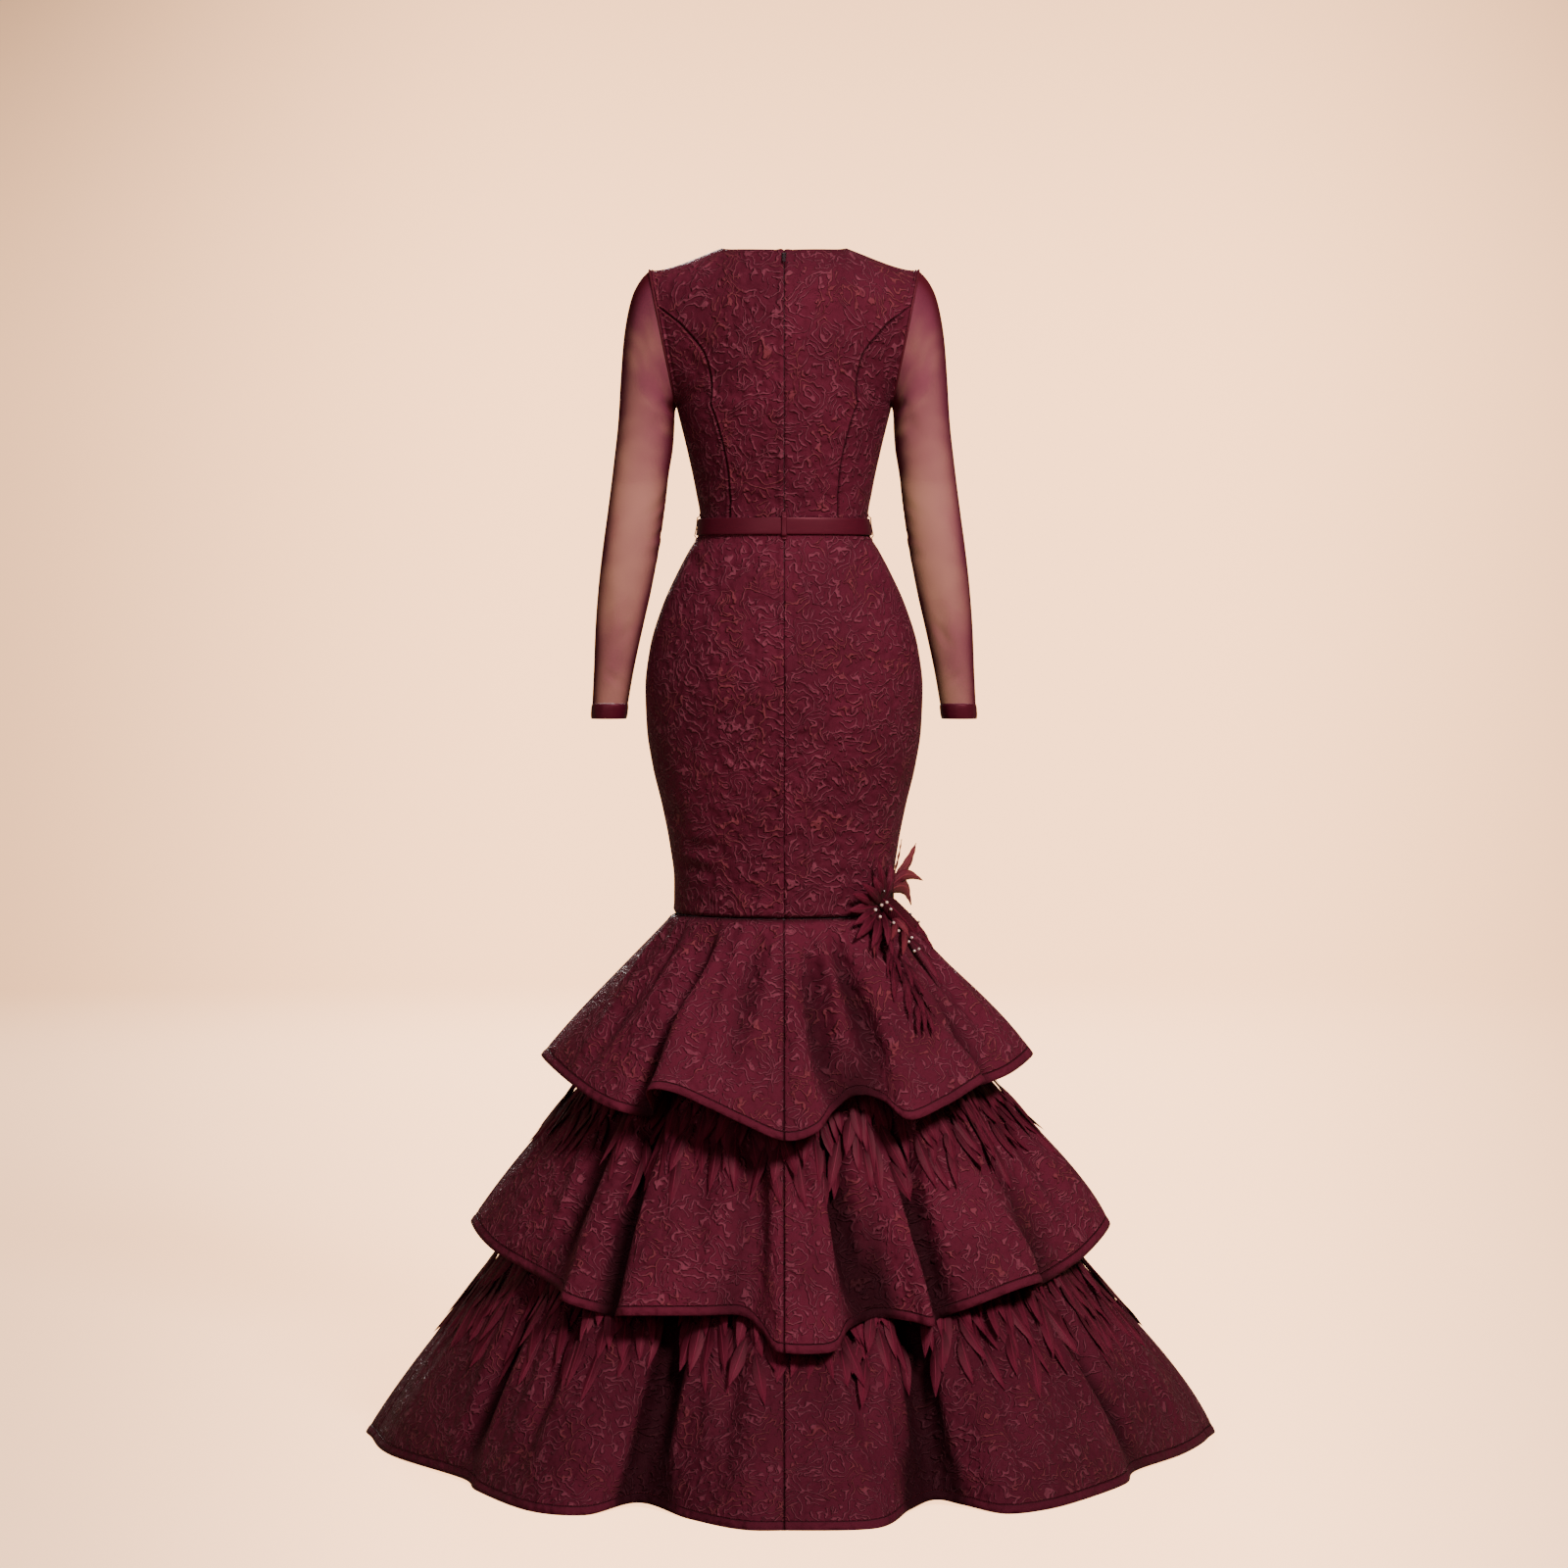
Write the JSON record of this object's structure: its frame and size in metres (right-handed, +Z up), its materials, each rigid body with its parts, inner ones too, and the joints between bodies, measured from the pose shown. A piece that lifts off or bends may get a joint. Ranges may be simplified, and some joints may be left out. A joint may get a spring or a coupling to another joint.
{
  "type": "mermaid gown",
  "caption": "Floor-length mermaid gown: fitted back-zip bodice, sheer long sleeves, narrow belt, close skirt and three flared flounces with feather trims; hollow, in its worn form.",
  "frame": {"origin": "the middle of the shoulders, 1.470 m above the floor that the hem touches, where the wearer carries the gown", "axes": "+Z up; the front faces -Y and the zip at the centre back +Y; +X is the wearer's left"},
  "size_m": [1.07, 0.9878, 1.4838],
  "materials": {
    "jacquard": "matte burgundy jacquard with a raised curved pattern and a faint sheen on its lines",
    "sheer_mesh": "fine see-through burgundy mesh",
    "satin": "smooth burgundy satin with a soft sheen",
    "lining": "plain matte dark burgundy lining",
    "feather": "soft dark burgundy feathers and cut leaves",
    "zip_metal": "enamelled zip slider and pull tab, dark burgundy"
  },
  "bodies": {
    "gown": {"belt": "satin", "belt_keeper": "satin", "belt_loop_L": "satin", "belt_loop_R": "satin", "bodice_back_centre_L": "jacquard", "bodice_back_centre_R": "jacquard", "bodice_back_side_L": "jacquard", "bodice_back_side_R": "jacquard", "bodice_front_centre": "jacquard", "bodice_front_side_L": "jacquard", "bodice_front_side_R": "jacquard", "corsage": "feather", "corsage_trail": "feather", "cuff_L": "satin", "cuff_R": "satin", "feather_trim_lower": "feather", "feather_trim_upper": "feather", "skirt_back_L": "jacquard", "skirt_back_R": "jacquard", "skirt_front": "jacquard", "sleeve_L": "sheer_mesh", "sleeve_R": "sheer_mesh", "tier_1_back_L": "jacquard", "tier_1_back_R": "jacquard", "tier_1_front": "jacquard", "tier_2_back_L": "jacquard", "tier_2_back_R": "jacquard", "tier_2_front": "jacquard", "tier_3_back_L": "jacquard", "tier_3_back_R": "jacquard", "tier_3_front": "jacquard", "underskirt_back": "lining", "underskirt_front": "lining", "zip_slider": "zip_metal"},
    "zip_pull": {"zip_pull": "zip_metal"}
  },
  "joints": [
    {"name": "zip_pull_swing", "type": "hinge", "parent": "gown", "child": "zip_pull", "pos_m": [0, 0.07302, -0.00145], "axis": [1, 0, 0], "range_deg": [0, 150]}
  ]
}
